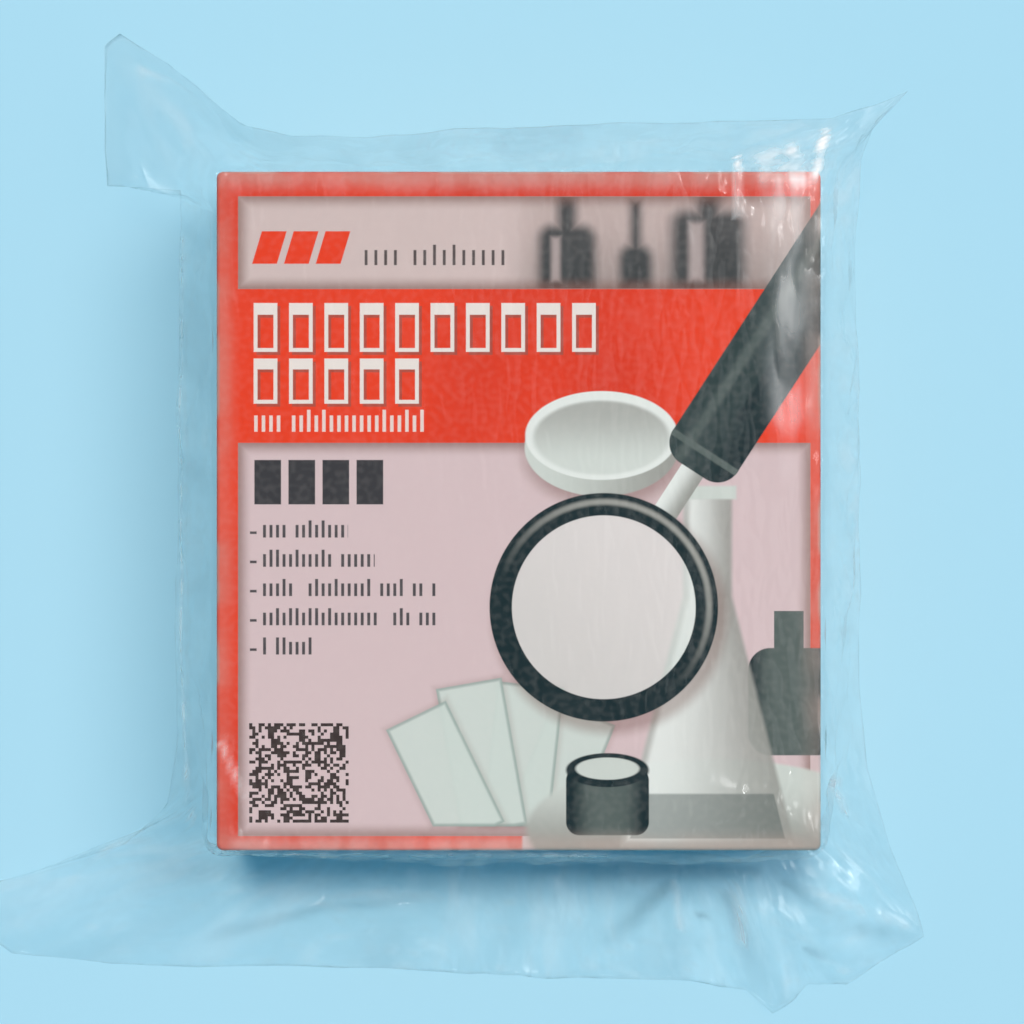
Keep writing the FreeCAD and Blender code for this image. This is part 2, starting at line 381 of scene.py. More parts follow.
def film_shape():
    """The film round the carton before it is crumpled: its points and faces, and what it carries.

    For each point: out, its share of the way from the carton's rim to the bag's edge; upper_skin, whether
    it is in the upper film; and streak. For each corner of a face: grain, its place in the fine pleats.
    """
    count_x = round(2 * (HALF_X + EASE) / CELL)
    count_y = round(2 * (HALF_Y + EASE) / CELL)
    rim = rim_path(count_x, count_y)
    rim[:, :2] = round_corners(rim[:, :2], HALF_X + EASE, HALF_Y + EASE, RIM_TURN)
    edge = edge_path(rim[:, 2])
    count = len(rim)
    top = FACE + EASE

    def spokes(height):
        """Lines from the carton's rim, at that height, over the shoulder and the knee to the edge."""
        start = np.column_stack([rim[:, :2], np.full(count, height)])
        tip = edge[:, :3]
        knee = start + (tip - start) * edge[:, 3:4]
        knee[:, 2] = tip[:, 2] + (height - tip[:, 2]) * edge[:, 4]
        shoulder = start + (tip - start) * (SHOULDER / np.linalg.norm(tip - start, axis=1)[:, None])
        shoulder[:, 2] = height
        lines = along_polyline(np.stack([start, shoulder, knee, tip]), SPOKE)
        for _ in range(SMOOTHINGS):
            lines[1:-1] = (lines[:-2] + 2 * lines[1:-1] + lines[2:]) / 4
        return lines

    upper = spokes(top)
    lower = spokes(UNDERSIDE)
    grid_x = np.linspace(-1, 1, count_x + 1) * (HALF_X + EASE)
    grid_y = np.linspace(-1, 1, count_y + 1) * (HALF_Y + EASE)
    grid = np.array([(x, y) for y in grid_y for x in grid_x])
    grid = round_corners(grid, HALF_X + EASE, HALF_Y + EASE, RIM_TURN)

    points = [np.column_stack([grid, np.full(len(grid), top)])]
    points.append(upper[1:].reshape(-1, 3))
    points.append(lower[:-1].reshape(-1, 3))
    cap = len(grid)

    def cell(i, j):
        return j * (count_x + 1) + i

    loop = [cell(count_x, j) for j in range(count_y)]
    loop += [cell(count_x - i, count_y) for i in range(count_x)]
    loop += [cell(0, count_y - j) for j in range(count_y)]
    loop += [cell(i, 0) for i in range(count_x)]
    loop = np.array(loop)
    top_rings = [loop] + [cap + ring * count + np.arange(count) for ring in range(SPOKE)]
    low_rings = [cap + (SPOKE + ring) * count + np.arange(count) for ring in range(SPOKE)]
    low_rings.append(top_rings[-1])

    faces = []
    grain = []
    for j in range(count_y):
        for i in range(count_x):
            faces.append([cell(i, j), cell(i + 1, j), cell(i + 1, j + 1), cell(i, j + 1)])
            grain += [(grid[c, 0], grid[c, 1] * GRAIN_STRETCH) for c in faces[-1]]
    # The lower film's faces are wound the other way, so that they point down.
    for rings, turn in ((top_rings, 1), (low_rings, -1)):
        for ring, (near, far) in enumerate(zip(rings, rings[1:])):
            for n in range(count):
                m = (n + 1) % count
                faces.append([int(c) for c in [near[n], far[n], far[m], near[m]][::turn]])
                steps = [(n, ring), (n, ring + 1), (n + 1, ring + 1), (n + 1, ring)][::turn]
                grain += [(a * CELL, b * CELL * GRAIN_STRETCH) for a, b in steps]

    out = np.zeros(cap + 2 * SPOKE * count)
    streak = np.zeros(len(out))
    pattern = streak_pattern(SPOKE + 1, count)
    for rings in (top_rings, low_rings):
        for ring, indices in enumerate(rings):
            out[indices] = np.maximum(out[indices], ring / SPOKE)
            streak[indices] = pattern[ring]
    upper_skin = np.arange(len(out)) < cap + SPOKE * count
    return np.concatenate(points), faces, out, upper_skin, streak, grain


def make_mesh(name, points, faces):
    """A new object with that mesh, put in the scene."""
    mesh = bpy.data.meshes.new(name)
    mesh.from_pydata([tuple(p) for p in points], [], faces)
    mesh.update()
    piece = bpy.data.objects.new(name, mesh)
    bpy.context.scene.collection.objects.link(piece)
    return piece


def crumple(points, faces, out):
    """The film's points once a simulation has folded its spare length, with its face and edge held."""
    bag = make_mesh("slack film", points * SIM_SCALE, faces)
    shake = random.Random(7)
    start = points.copy()
    loose = np.clip(out * 3, 0, 1) * np.clip((1 - out) * 5, 0, 1)
    for _ in range(WAVES):
        way = Vector(shake.gauss(0, 1) for _ in range(3)).normalized()
        push = np.array([shake.gauss(0, 1) for _ in range(3)])
        wave = np.sin(points @ np.array(way) * shake.uniform(*WAVE_TURNS) + shake.uniform(0, PHASE))
        start += (loose * wave)[:, None] * push * WAVE_HEIGHT * MM
    bag.shape_key_add(name="Basis")
    slack = bag.shape_key_add(name="slack")
    slack.data.foreach_set("co", (points * SLACK * SIM_SCALE).ravel())
    bag.data.shape_keys.key_blocks["Basis"].data.foreach_set("co", (start * SIM_SCALE).ravel())
    held = bag.vertex_groups.new(name="held")
    held.add([int(i) for i in np.flatnonzero((out == 0) | (out == 1))], 1.0, "REPLACE")

    cloth = bag.modifiers.new("film", "CLOTH")
    film = cloth.settings
    film.quality = 6
    film.mass = 0.05
    film.tension_stiffness = film.compression_stiffness = 60
    film.shear_stiffness = 24
    film.bending_stiffness = 0.004
    film.tension_damping = film.compression_damping = film.shear_damping = 5
    film.bending_damping = 0.5
    film.air_damping = 3
    film.use_pressure = True
    film.uniform_pressure_force = 0.1
    film.effector_weights.gravity = 0
    film.vertex_group_mass = held.name
    film.rest_shape_key = slack
    cloth.collision_settings.use_collision = False
    cloth.point_cache.frame_end = SIM_FRAMES
    for number in range(1, SIM_FRAMES + 1):
        bpy.context.scene.frame_set(number)
    folded = bag.evaluated_get(bpy.context.evaluated_depsgraph_get())
    result = np.empty(points.size)
    folded.data.vertices.foreach_get("co", result)
    bpy.context.scene.frame_set(1)
    bpy.data.objects.remove(bag, do_unlink=True)
    return result.reshape(-1, 3) / SIM_SCALE


# Creases that the film keeps, seen from above: from, to, how high, how wide.
CREASES = (
    ((22.7, -52.5), (14.3, -63.0), 1.3, 2.6),
    ((22.3, -50.5), (23.4, -59.5), 1.6, 1.8),
    ((30.8, -50.5), (36.8, -71.0), 2.2, 3.2),
    ((35.5, -56.0), (44.5, -63.5), 1.2, 2.4),
    ((43.0, -51.0), (57.0, -61.5), 1.5, 2.6),
    ((43.1, -55.3), (48.9, -68.0), 1.4, 2.6),
    ((-4.0, -57.0), (-28.6, -56.8), 1.1, 2.4),
    ((-28.6, -56.8), (-41.0, -61.5), 1.0, 2.4),
    ((-28.6, -56.8), (-46.0, -53.5), 0.9, 2.4),
    ((-43.0, -51.5), (-75.0, -57.0), 1.2, 3.0),
    ((-50.0, -60.5), (-77.0, -60.0), 0.9, 2.6),
    ((6.0, -52.0), (-2.0, -66.0), 0.9, 2.4),
    ((-15.0, -51.0), (-22.0, -62.0), 0.7, 2.2),
    ((29.5, 52.0), (29.3, 27.0), 0.42, 0.9),
    ((34.2, 46.0), (35.2, 4.0), 0.5, 2.4),
    ((38.2, 45.0), (39.0, 12.0), 0.3, 1.4),
    ((38.0, 16.0), (40.4, -4.0), 0.4, 1.4),
    ((18.0, -45.6), (34.0, -39.6), 0.7, 2.6),
    ((34.0, -39.6), (40.9, -44.2), 0.8, 2.2),
    ((34.0, -39.6), (40.9, -31.0), 0.6, 2.0),
    ((24.0, -36.5), (34.0, -39.6), 0.5, 1.8),
    ((30.0, -45.8), (36.2, -41.4), 0.5, 1.6),
    ((-41.0, -30.5), (-37.6, -41.0), 0.5, 1.4),
    ((-40.8, -43.0), (-34.0, -45.8), 0.4, 1.4),
    ((24.0, 45.8), (33.0, 38.0), 0.45, 1.6),
    ((31.0, 45.8), (40.8, 41.5), 0.5, 1.6),
    ((-47.0, 38.0), (-46.5, -44.0), 0.9, 1.8),
    ((-55.0, 62.0), (-41.5, 46.5), 1.2, 2.4),
    ((-56.5, 50.0), (-42.0, 45.0), 1.0, 2.4),
)

# Whitened folds and painted highlights on the film, seen from above: from, to, how white, how wide.
WHITENED_AND_PAINTED_GLINTS = (
    ((29.7, 48.0), (29.5, 40.0), 0.95, 0.36),
    ((36.7, 46.0), (36.3, 13.0), 0.3, 2.6),
    ((42.3, 52.1), (39.9, 45.1), 0.95, 0.5),
    ((37.4, 49.5), (37.2, 48.4), 0.9, 1.0),
    ((33.2, 45.2), (38.6, 44.6), 0.6, 1.1),
    ((32.1, 47.1), (36.9, 49.4), 0.35, 1.2),
    ((42.9, -37.7), (45.1, -38.3), 0.4, 0.5),
    ((45.1, -39.9), (46.5, -42.6), 0.5, 0.5),
    ((22.5, -53.6), (23.6, -59.6), 0.3, 0.6),
    ((31.3, -53.8), (32.2, -61.6), 0.26, 0.8),
    ((43.2, -63.9), (48.7, -67.1), 0.16, 0.5),
    ((41.0, -54.0), (56.0, -59.5), 0.18, 0.7),
    ((-26.0, -54.8), (-12.0, -55.2), 0.14, 0.7),
    ((-57.0, -46.8), (-46.0, -48.9), 0.14, 1.2),
    ((-40.2, -31.5), (-37.0, -38.5), 0.4, 0.4),
    ((-46.9, 38.0), (-46.5, -45.0), 0.34, 0.32),
    ((-44.0, -46.7), (12.0, -46.7), 0.36, 0.45),
    ((-53.0, 61.8), (-48.0, 59.8), 0.2, 0.5),
    ((-38.0, -45.2), (0.0, -45.2), 0.13, 1.2),
    ((-38.0, 44.4), (26.0, 44.4), 0.07, 1.5),
    ((-48.1, -43.2), (-56.0, -46.2), 0.2, 0.5),
    ((-56.0, -46.2), (-64.3, -53.0), 0.16, 0.5),
    ((-47.5, -47.0), (-39.0, -48.2), 0.2, 0.5),
    ((47.6, 46.0), (47.2, -12.0), 0.14, 0.4),
)

# Where the film darkens what is under it, seen from above: from, to, how dark, how wide. First come
# specks, then folds where the film lies double, with painted shade, then a painted shadow where the film
# hangs in the carton's shade.
SPECKS_FOLDS_AND_PAINTED_SHADE = (
    ((-57.4, -45.6), (-56.7, -45.9), 0.5, 0.6),
    ((-28.3, -56.7), (-27.4, -57.1), 0.45, 0.6),
    ((25.8, -58.3), (27.2, -58.1), 0.45, 0.5),
    ((41.6, -63.0), (44.6, -64.6), 0.3, 0.7),
    ((21.6, -53.8), (12.9, -62.1), 0.3, 1.3),
    ((30.2, -55.5), (35.9, -70.4), 0.36, 1.4),
    ((38.6, -53.4), (47.8, -59.8), 0.28, 1.0),
    ((47.8, -59.8), (57.0, -61.4), 0.22, 1.0),
    ((-28.0, -57.0), (-14.0, -56.2), 0.2, 0.9),
    ((-28.0, -57.0), (-44.5, -61.2), 0.22, 1.0),
    ((-45.5, -50.5), (-56.0, -54.0), 0.12, 1.6),
    ((-41.5, -51.6), (-52.0, -51.8), 0.2, 2.2),
    ((34.0, -51.8), (0.0, -51.4), 0.24, 1.5),
)

FACETS, FACET_SLOPE = 9, 0.016  # sets of flat facets in the film, and their height as a share of length
FINE_FOLDS = 18  # sets of short fine folds, every other one dark
FINE_PAINTED_GLINT, FINE_PAINTED_SHADE = 0.085, 0.07  # strength of the fine folds' painted highlights and painted shade


def from_line(flat, start, end):
    """How far along a line each place is, from 0 to 1, and how far it is from the line."""
    start, end = np.array(start), np.array(end)
    along = end - start
    t = np.clip((flat - start) @ along / (along @ along), 0, 1)
    return t, np.linalg.norm(flat - start - t[:, None] * along, axis=1)


def fine_folds(flat):
    """Short fine folds in random directions, some painted as highlights, some as shade: each from 0 to 1.
    """
    shake = random.Random(31)
    folds = [np.zeros(len(flat)), np.zeros(len(flat))]
    for number in range(FINE_FOLDS):
        turn = shake.uniform(0, math.tau)
        along = flat @ np.array((math.cos(turn), math.sin(turn)))
        across = flat @ np.array((-math.sin(turn), math.cos(turn)))
        spacing = shake.uniform(5, 11)
        bend = shake.uniform(0.5, 1.5)
        bend *= np.sin(along / shake.uniform(4, 9) + shake.uniform(0, math.tau))
        near = np.abs((across + bend) / spacing % 1 - 0.5) * spacing
        spell = np.sin(along / shake.uniform(2, 4) + shake.uniform(0, math.tau))
        spell *= np.sin(across / shake.uniform(4, 9) + shake.uniform(0, math.tau))
        fold = np.clip(1.1 - near / 0.7, 0, 1) * np.clip(spell * 1.5, 0, 1)
        folds[number % 2] = np.maximum(folds[number % 2], fold)
    return folds


def crease(points, upward, upper_skin, out, streak):
    """The film with its kept creases, and with the flat facets and sharp ridges of a crumpled sheet."""
    shake = random.Random(19)
    flat = points[:, :2] / MM
    rise = np.zeros(len(points))
    for start, end, height, width in CREASES:
        t, far = from_line(flat, start, end)
        rise += height * np.clip(1 - far / width, 0, 1) * np.clip(8 * t * (1.12 - t), 0, 1)
    facets = np.zeros(len(points))
    for _ in range(FACETS):
        way = Vector(shake.gauss(0, 1) for _ in range(3)).normalized()
        length = shake.uniform(5.0, 15.0)
        at = points @ np.array(way) / MM / length + shake.uniform(0, 1)
        zigzag = np.abs((at % 1) - 0.5) * 4 - 1
        side = Vector(shake.gauss(0, 1) for _ in range(3)).normalized()
        spell = np.sin(points @ np.array(side) / MM / shake.uniform(6, 11) + shake.uniform(0, PHASE))
        facets += zigzag * np.clip(spell, 0, 1) * length * FACET_SLOPE
    # On the face the film is drawn tight, apart from the rim and the right side.
    x, y = flat.T
    right = np.clip((x + 5) / 45, 0, 1) * np.clip((np.abs(y) - 10) / 30, 0.25, 1)
    margin = np.minimum(WIDE - np.abs(x), LONG - np.abs(y))
    loose = np.clip(right * 0.55 + np.clip(1 - margin / 5, 0, 1) * 0.5, 0, 1)
    # Elsewhere it is flatter where it lies on the floor, and at its edge.
    calm = np.clip(points[:, 2] / (12 * MM), 0.4, 1) * np.clip((1 - out) * 8, 0.15, 1)
    facets = np.where(out < 0.04, np.abs(facets) * loose, facets * 1.2 * calm)
    facets = np.where(upper_skin, facets, facets * 0.6) + 0.12 * streak * np.clip(out * 4, 0, 1)
    result = points + upward * facets[:, None] * MM
    result[:, 2] += np.where(upper_skin, rise, 0) * MM
    return result


def keep_clear(points):
    """The points, with those that folds brought into the carton or under the floor put back outside."""
    result = points.copy()
    walls = np.array([HALF_X, HALF_Y, FACE]) + NEAREST
    deep = walls - np.column_stack([np.abs(result[:, :2]), result[:, 2]])
    inside = (deep.min(axis=1) > 0) & (result[:, 2] > NEAREST)
    nearest = deep.argmin(axis=1)
    for axis, wall in enumerate(walls):
        move = inside & (nearest == axis)
        result[move, axis] = np.sign(result[move, axis]) * wall
    result[:, 2] = np.maximum(result[:, 2], LOWEST)
    return result


def close_underside(mesh):
    """Closes the film where it lies flat under the carton."""
    shell = bmesh.new()
    shell.from_mesh(mesh)
    bmesh.ops.holes_fill(shell, edges=[edge for edge in shell.edges if edge.is_boundary], sides=0)
    shell.to_mesh(mesh)
    shell.free()


def film_bag():
    """The bag: laid round the carton, crumpled, made finer, creased and finished."""
    points, faces, out, upper_skin, streak, grain = film_shape()
    folded = crumple(points, faces, out)
    from_ear = np.hypot(points[:, 0] + HALF_X + EAR_ACROSS, points[:, 1] - HALF_Y - EAR_ALONG)
    quiet = 0.85 * np.exp(-((from_ear / EAR_SIZE) ** 2))  # the ear stays nearly flat
    points = folded + (points - folded) * quiet[:, None]
    bag = make_mesh("film_bag", points, faces)
    coarse = bag.data
    pleats = coarse.uv_layers.new(name="pleats")
    pleats.data.foreach_set("uv", np.array(grain).ravel())
    at_edge = [out[edge.vertices[0]] == out[edge.vertices[1]] == 1 for edge in coarse.edges]
    for name, place, values in (
        ("out", "POINT", out),
        ("upper", "POINT", upper_skin),
        ("streak", "POINT", streak),
        ("crease_vert", "POINT", out == 1),
        ("crease_edge", "EDGE", at_edge),
    ):
        coarse.attributes.new(name, "FLOAT", place).data.foreach_set("value", np.array(values, float))
    smooth = bag.modifiers.new("smooth", "SUBSURF")
    smooth.levels = smooth.render_levels = 1
    fine = bpy.data.meshes.new_from_object(bag.evaluated_get(bpy.context.evaluated_depsgraph_get()))
    bag.modifiers.clear()
    bag.data = fine
    dress_film(fine)
    close_underside(fine)
    for polygon in fine.polygons:
        polygon.use_smooth = True
    fine.materials.append(clear_film())
    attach(bag, "root")
    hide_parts("clear_bag")


def dress_film(mesh):
    """Creases the smoothed film, and gives each of its points what its finish reads."""
    count = len(mesh.vertices)
    points, upward = np.empty(count * 3), np.empty(count * 3)
    mesh.vertices.foreach_get("co", points)
    mesh.vertex_normals.foreach_get("vector", upward)
    points, upward = points.reshape(-1, 3), upward.reshape(-1, 3)
    out, upper, streak = (np.empty(count) for _ in range(3))
    for name, values in (("out", out), ("upper", upper), ("streak", streak)):
        mesh.attributes[name].data.foreach_get("value", values)
    upper_skin = upper > 0.5
    points = crease(points, upward, upper_skin, out, streak)
    mesh.vertices.foreach_set("co", keep_clear(points).ravel())
    flat = points[:, :2] / MM
    light, dark = fine_folds(flat)
    # What the finish reads: crinkle for fine relief, the haze with painted highlights, and painted shade
    # with doubled film.
    for name, values in (
        ("crinkle", crinkled(flat, out)),
        ("haze_and_painted_glint", whiten_and_paint_glints(flat, upper_skin, out, streak, light)),
        ("doubling_and_painted_shade", paint_shade_and_doubling(flat, out, streak, dark)),
    ):
        mesh.attributes.new(name, "FLOAT", "POINT").data.foreach_set("value", values)


def crinkled(flat, out):
    """How finely crinkled the film is at each place, from 0 to 1: most at the carton's corners."""
    x, y = flat.T
    share = 0.16 + 0.2 * np.clip(out * 4, 0, 1)
    for side_x, side_y, strength in ((1, 1, 1.0), (1, -1, 0.5), (-1, -1, 0.4), (-1, 1, 0.3)):
        far = np.hypot(x - side_x * WIDE, y - side_y * LONG)
        share += strength * np.exp(-((far / 13.0) ** 2))
    share += 0.25 * np.clip((x - 20) / 20, 0, 1)
    return np.clip(share, 0, 1)


def worked(flat, out):
    """How much the film has been creased at each place: most in the tail flap, least on the face."""
    tail = np.clip((-44 - flat[:, 1]) / 5, 0, 1)
    return np.clip(out * 6, 0, 1) * (0.3 + 0.7 * tail)


def whiten_and_paint_glints(flat, upper_skin, out, streak, light):
    """How pale the film looks at each place, from 0 to 1: milky film with painted highlights, most along
    its folds.
    """
    x, y = flat.T
    # A faint milkiness everywhere, with pale streaks that are partly painted highlights.
    haze_and_painted_glint = np.clip(streak - 0.2, 0, 1.5) * 0.045 + 0.012
    # Painted reflection: paler towards the right. Painted light on the left fin, in the carton's shadow.
    haze_and_painted_glint += 0.02 * np.clip((x + 30) / 60, 0, 1) + 0.015 * (x < -WIDE)
    haze_and_painted_glint *= np.clip(out * 6, 0.15, 1)
    # Whitened folds and painted highlights, from the table.
    for start, end, strength, width in WHITENED_AND_PAINTED_GLINTS:
        haze_and_painted_glint = np.maximum(haze_and_painted_glint, strength * np.exp(-((from_line(flat, start, end)[1] / width) ** 2)))
    # Painted highlights on the light fine folds.
    haze_and_painted_glint = np.maximum(haze_and_painted_glint, FINE_PAINTED_GLINT * light * worked(flat, out))
    # Painted reflection: a pale veil about the head's right corner.
    far = np.hypot(x - WIDE + 3, y - LONG)  # from the head's right corner
    haze_and_painted_glint += 0.14 * np.exp(-((far / 8.0) ** 2))
    return np.where(upper_skin, haze_and_painted_glint, haze_and_painted_glint * 0.2)


def paint_shade_and_doubling(flat, out, streak, dark):
    """How much the film darkens what is under it at each place, from 0 to 1: doubled film, and painted
    shade.
    """
    x, y = flat.T
    # Painted shade along the darker random streaks.
    doubling_and_painted_shade = np.clip(-0.4 - streak, 0, 1.5) * 0.06
    # A painted shadow below the carton's tail, stronger towards the left.
    doubling_and_painted_shade += 0.04 * np.clip((20 - x) / 20, 0, 1) * np.clip((-50 - y) / 4, 0, 1)
    # Darker beyond the carton's head.
    doubling_and_painted_shade += 0.05 * np.clip((y - LONG) / 2, 0, 1)
    # Specks, doubled folds with painted shade, and painted shadow, from the table.
    for start, end, strength, width in SPECKS_FOLDS_AND_PAINTED_SHADE:
        t, far = from_line(flat, start, end)
        strength = strength * np.clip((1.1 - t) * 1.6 + streak * 0.25, 0.1, 1)
        doubling_and_painted_shade = np.maximum(doubling_and_painted_shade, strength * np.exp(-((far / (width * (0.7 + 0.6 * t))) ** 2)))
    # Painted shade in the dark fine folds.
    doubling_and_painted_shade = np.maximum(doubling_and_painted_shade, FINE_PAINTED_SHADE * dark * worked(flat, out))
    return doubling_and_painted_shade * np.clip(out * 6, 0, 1)


def clear_film():
    """Thin clear film: it mirrors a little of what is above it, most along its folds, and passes light."""
    film = Finish("clear film")
    pleats = film.add("ShaderNodeUVMap", {"uv_map": "pleats"}).outputs["UV"]
    pleats = film.add("ShaderNodeTexNoise", {"noise_dimensions": "2D"}, pleats, Scale=420, Detail=1)
    pleats = Value(film, pleats.outputs["Fac"])
    normal = film.bump(abs(pleats - 0.5) * film.attribute("crinkle"), 1.2 * MM, 0.8)
    rough = pleats.rise(0.35, 0.7) * 0.16 + 0.09
    gloss = film.add("ShaderNodeBsdfGlossy", None, Color=(1, 1, 1, 1), Roughness=rough, Normal=normal)
    facing = Value(film, film.add("ShaderNodeLayerWeight", None, Blend=0.5).outputs["Facing"])
    mirror = facing.math("POWER", 5) * 0.3 + 0.048
    # A diffuse white for the film's milkiness and its painted highlights.
    white = film.add("ShaderNodeBsdfDiffuse", None, Color=(0.94, 0.94, 0.94, 1))
    haze_and_glint_share = film.attribute("haze_and_painted_glint") * (pleats.rise(0.3, 0.7) * 0.8 + 0.4)

    # Clear film, and a darker tint for doubled film and painted shade, chosen by the painted shade
    # attribute.
    single, doubled_and_shaded = film.clear((0.99, 1, 1, 1)), film.clear((0.5, 0.58, 0.62, 1))
    look = film.blend(film.attribute("doubling_and_painted_shade"), single, doubled_and_shaded)
    look = film.blend(mirror, look, gloss.outputs[0])
    look = film.blend(haze_and_glint_share, look, white.outputs[0])
    lit = film.add("ShaderNodeLightPath", None).outputs["Is Shadow Ray"]
    return film.finish(film.blend(lit, look, film.clear((0.97, 0.98, 0.985, 1))))


# ---- The carton's print: no words, but bars, strokes and outlines in the places of print ----

RED = colour(236, 60, 10)
DEEP_RED = colour(206, 47, 14)
SIDE_GREY = colour(190, 183, 181)
PALE_PINK = colour(217, 190, 190)
GREY_PINK = colour(212, 188, 183)
SHADE_BROWN = colour(128, 84, 70)
WHITE_INK = colour(238, 226, 218)
DARK_INK = colour(34, 28, 26)
SOFT_INK = colour(88, 72, 68)
NEAR_BLACK = colour(26, 32, 30)
DARK_GREY = colour(92, 98, 92)
OFF_WHITE = colour(208, 210, 202)
BRIGHT_WHITE = colour(232, 232, 226)
WARM_GREY = colour(158, 154, 146)
PALE_GREEN = colour(210, 216, 208)
GLASS_EDGE = colour(160, 172, 164)
BOARD_GREY = colour(188, 182, 170)

PANEL_LEFT, PANEL_RIGHT = -37.9, 39.4
STRIP_TOP, BAND_TOP, BAND_FOOT, PANEL_FOOT = 42.5, 30.0, 9.2, -43.9
TEXT_LEFT = -35.8
LINE_PITCH = 3.95  # of the small print
MODULE, MODULES = 0.42, 32  # size of the square's modules, and how many stand in a row
WRAP = 2.2  # how far the face's print runs down the sides


def within(x, y, left, right, foot, top):
    """How far inside a rectangle's nearest edge a place is, in millimetres; less than 0 outside."""
    return (x - left).least(right - x).least((y - foot).least(top - y))


def bar(x, y, left, right, foot, top, soft=0.12):
    """1 inside a rectangle, 0 outside, with an edge soft wide."""
    return within(x, y, left, right, foot, top).rise(-soft / 2, soft / 2)


def pad(x, y, left, right, foot, top, turn, soft=0.2):
    """1 inside a rectangle with corners of radius turn, 0 outside."""
    over_x = (abs(x - (left + right) / 2) - ((right - left) / 2 - turn)).most(0)
    over_y = (abs(y - (foot + top) / 2) - ((top - foot) / 2 - turn)).most(0)
    return (over_x * over_x + over_y * over_y).math("SQRT").rise(turn + soft / 2, turn - soft / 2)


def reach(x, y, across, along, radius_x, radius_y):
    """How far out a place is in an oval: 0 in its middle, 1 on its edge."""
    u = (x - across) / radius_x
    v = (y - along) / radius_y
    return (u * u + v * v).math("SQRT")


def oval(x, y, across, along, radius_x, radius_y, soft=0.2):
    """1 inside an oval, 0 outside."""
    edge = soft / 2 / min(radius_x, radius_y)
    return reach(x, y, across, along, radius_x, radius_y).rise(1 + edge, 1 - edge)


def turned(x, y, across, along, degrees):
    """Coordinates about a place, along axes turned anticlockwise."""
    cosine, sine = math.cos(math.radians(degrees)), math.sin(math.radians(degrees))
    u, v = x - across, y - along
    return u * cosine + v * sine, v * cosine - u * sine


def by_chance(board, column, row, seed=0.0):
    """A number from 0 to 1 for each cell of a grid."""
    place = board.add("ShaderNodeCombineXYZ", None, column, row, seed)
    chance = board.add("ShaderNodeTexWhiteNoise", {"noise_dimensions": "3D"}, place.outputs[0])
    return Value(board, chance.outputs["Value"])


def strokes(board, x, y, left, top, pitch, height, widths, step, heavy=0.46):
    """Rows of fine upright strokes in groups, where small print would be: one row for each width.

    A stroke takes up the share heavy of its step, and some steps are left empty by chance.
    """
    row = ((top - y) / pitch).math("FLOOR")
    down = (top - y) - row * pitch
    column = ((x - left) / step).math("FLOOR")
    across = (x - left) / step - column
    chance = by_chance(board, column, row)
    tall = chance.math("GREATER_THAN", 0.66) * (0.26 * height)
    ink = (down - (0.26 * height - tall)).least(height - down).rise(-0.05, 0.08)
    ink = ink * across.rise(0.0, 0.14) * across.rise(heavy + 0.14, heavy)
    ink = ink * chance.math("GREATER_THAN", 0.15)
    ends = sum((row.math("COMPARE", line, 0.5) * width for line, width in enumerate(widths)), 0)
    return ink * (x - left).least(ends - (x - left)).rise(0, 0.1)


def slide_row(x, y, left, count, foot, top, pitch, wide, line):
    """A row of little upright slides in outline, each with its frosted end filled in."""
    column = ((x - left) / pitch).math("FLOOR")
    across = (x - left) - column * pitch
    depth = within(across, y, 0.3, 0.3 + wide, foot, top)
    outline = depth.rise(-0.06, 0.06) * depth.rise(line + 0.06, line - 0.06)
    frost = top - (top - foot) * 0.24
    frosted = depth.rise(-0.06, 0.06) * y.rise(frost - 0.05, frost + 0.05)
    return outline.most(frosted) * (x - left).least(left + count * pitch - x).rise(0, 0.05)


def printed_board():
    """The lid's finish: its printed face, pale sides, rubbed edges with a painted sheen, and bare board
    inside.
    """
    board = Finish("printed board")
    x, y, z = board.axes()
    cloud = board.noise(30, 1)
    fibre = board.noise(1100, 0)
    panels(board, x, y, cloud)
    head_strip(board, x, y)
    title(board, x, y)
    small_print(board, x, y)
    still_life(board, x, y)
    board.lay(z.rise(HIGH - WRAP, HIGH - WRAP - 0.2), sides(board, x, y, z, cloud))
    rub_edges_and_paint_sheen(board, x, y, z)
    board.lay(fibre.rise(0.35, 0.8) * 0.03, WHITE_INK)
    # Bare board shows inside the lid and along its foot.
    inside = from_rim(x, y).rise(0.9, 1.1) * z.rise(HIGH - 0.9, HIGH - 1.1)
    board.lay(inside.most(z.rise(1.05, 0.95)), BOARD_GREY)
    return board.solid(
        Base_Color=board.paint,
        Roughness=fibre * 0.2 + 0.42,
        Specular_IOR_Level=0.2,
        Normal=board.bump(fibre, 0.04 * MM, 0.4),
    )


def from_rim(x, y):
    """How far a place on the lid is from its nearest side."""
    return (WIDE - abs(x)).least(LONG - abs(y))


def panels(board, x, y, cloud):
    """The red ground, a little patchy, and the pale panels in their soft frame of shade."""
    board.paint = RED
    board.lay(cloud.rise(0.35, 0.75) * 0.7, DEEP_RED)
    strip = within(x, y, PANEL_LEFT, PANEL_RIGHT, BAND_TOP, STRIP_TOP)
    lower = within(x, y, PANEL_LEFT, PANEL_RIGHT, PANEL_FOOT, BAND_FOOT)
    corner = bar(x, y, 0.5, 50, -50, -20.0, 0.5)
    board.lay(strip.rise(-0.06, 0.06), GREY_PINK)
    board.lay(lower.rise(-0.06, 0.06).most(corner), PALE_PINK)
    board.lay(strip.least(x + 4).rise(0, 0.1), out_of_focus(board, x, y))
    inside = strip.most(lower.least((36.0 - x) + (y + 50.0)))
    shade = inside.rise(-0.06, 0.06) * inside.rise(2.0, -0.5)
    board.lay(shade * 0.8, SHADE_BROWN)


